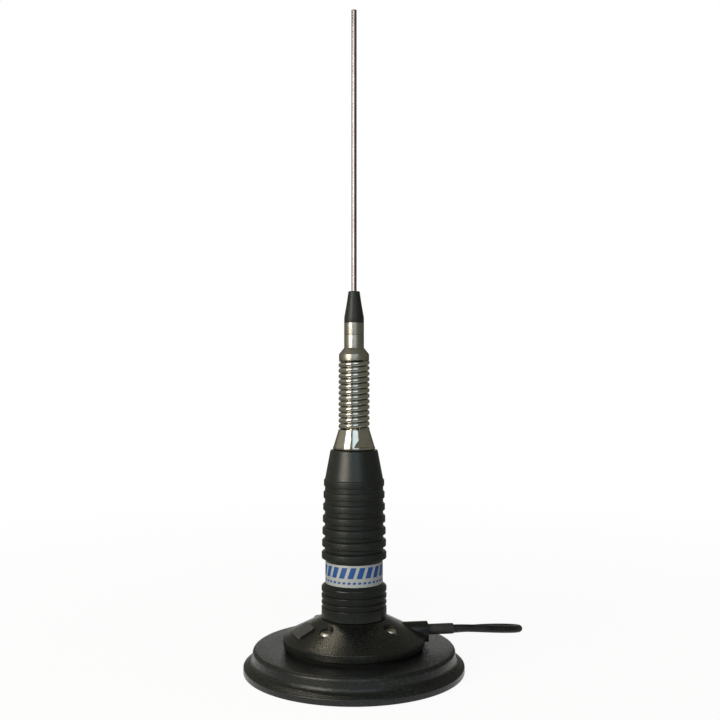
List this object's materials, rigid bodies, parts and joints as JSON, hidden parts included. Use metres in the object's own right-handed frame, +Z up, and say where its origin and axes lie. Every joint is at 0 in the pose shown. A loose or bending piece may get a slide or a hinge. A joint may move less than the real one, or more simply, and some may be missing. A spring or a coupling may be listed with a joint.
{
  "type": "magnetic mount antenna",
  "caption": "Mobile whip antenna on a round magnetic base, with a grooved coil housing, a helical shock spring, a clamped steel whip and a coaxial lead ending in a screw plug",
  "frame": {"origin": "centre of the magnetic base's underside, on the antenna's axis", "axes": "+Z up along the whip; +X towards the cable outlet; +Y completes a right-handed frame"},
  "size_m": [0.1949, 0.3012, 0.4329],
  "materials": {
    "grained_black_coat": "fine-grained black coat",
    "zinc_plated_steel": "zinc plated",
    "ferrite": "matt dark grey ferrite",
    "pad_rubber": "matt",
    "gasket_rubber": "matt",
    "grained_black_plastic": "fine-grained moulded",
    "bright_zinc": "bright zinc plated",
    "boot_rubber": "matt",
    "nickel_plated_brass": "nickel plated",
    "white_insulator": "smooth",
    "brass": "machined",
    "satin_black_plastic": "satin moulded",
    "matt_black_plastic": "fine-grained moulded",
    "brushed_silver_foil": null,
    "fibre_former": "fibre filled",
    "enamelled_copper": "enamelled copper wire",
    "polished_chrome": "polished",
    "nickel_plated_spring_steel": "nickel plated",
    "tinned_braid": "tinned copper braid",
    "satin_nickel": "satin nickel plated",
    "blackened_steel": "blackened",
    "cap_plastic": "satin moulded",
    "stainless_steel": "drawn and polished",
    "cable_sheath": "satin vinyl sheath",
    "tie_nylon": "smooth nylon",
    "plug_nickel": "nickel plated"
  },
  "bodies": {
    "mount": {"base_shell": "grained_black_coat", "pole_plate": "zinc_plated_steel", "magnet_ring": "ferrite", "base_pad": "pad_rubber", "cover_gasket": "gasket_rubber", "mount_cover": "grained_black_plastic", "cover_screw_1": "bright_zinc", "cover_screw_2": "bright_zinc", "cover_screw_3": "bright_zinc", "cover_screw_4": "bright_zinc", "cable_boot": "boot_rubber", "socket_shell": "nickel_plated_brass", "socket_insulator": "white_insulator", "socket_contact": "brass", "socket_nut": "nickel_plated_brass", "feed_cable": "cable_sheath", "cable_hank": "cable_sheath", "hank_tie": "tie_nylon", "plug_body": "plug_nickel", "plug_insulator": "white_insulator", "plug_pin": "plug_nickel", "plug_reducer": "plug_nickel", "plug_lead": "cable_sheath"},
    "antenna": {"antenna_foot": "nickel_plated_brass", "contact_bush": "white_insulator", "contact_pin": "brass", "coil_housing": "matt_black_plastic", "label_band": "brushed_silver_foil", "coil_former": "fibre_former", "loading_coil": "enamelled_copper", "spring_seat": "polished_chrome"},
    "grip": {"grip_ring": "satin_black_plastic", "grip_insert": "brass"},
    "spring": {"shock_spring": "nickel_plated_spring_steel", "bonding_braid": "tinned_braid"},
    "whip_head": {"spring_head": "satin_nickel", "whip_holder": "satin_nickel", "clamp_screw": "blackened_steel", "whip_cap": "cap_plastic"},
    "whip": {"whip": "stainless_steel"},
    "plug_nut": {"plug_coupling_nut": "plug_nickel"}
  },
  "joints": [
    {"name": "antenna_rise", "type": "slide", "parent": "mount", "child": "antenna", "axis": [0, 0, 1], "range_m": [0, 0.01375]},
    {"name": "grip_turn", "type": "hinge", "parent": "antenna", "child": "grip", "pos_m": [0, 0, 0.0353], "axis": [0, 0, 1], "range_deg": [0, 4680]},
    {"name": "spring_bend_x", "type": "hinge", "parent": "antenna", "child": "spring", "pos_m": [0, 0, 0.17], "axis": [1, 0, 0], "range_deg": [-30, 30], "stiffness_Nm_per_rad": 1.9, "deforming": ["shock_spring", "bonding_braid"]},
    {"name": "spring_bend_y", "type": "hinge", "parent": "spring", "child": "whip_head", "pos_m": [0, 0, 0.192], "axis": [0, 1, 0], "range_deg": [-30, 30], "stiffness_Nm_per_rad": 1.9, "deforming": ["shock_spring", "bonding_braid"]},
    {"name": "whip_tune", "type": "slide", "parent": "whip_head", "child": "whip", "axis": [0, 0, 1], "range_m": [-0.006, 0.009]},
    {"name": "plug_nut_spin", "type": "hinge", "parent": "mount", "child": "plug_nut", "pos_m": [0.01622, 0.11712, 0.0401], "axis": [0.1444, 0.9895, 0], "continuous": true}
  ],
  "couplings": [
    {"joint": "grip_turn", "follows": "antenna_rise", "rad_per_m": 5937.1}
  ]
}
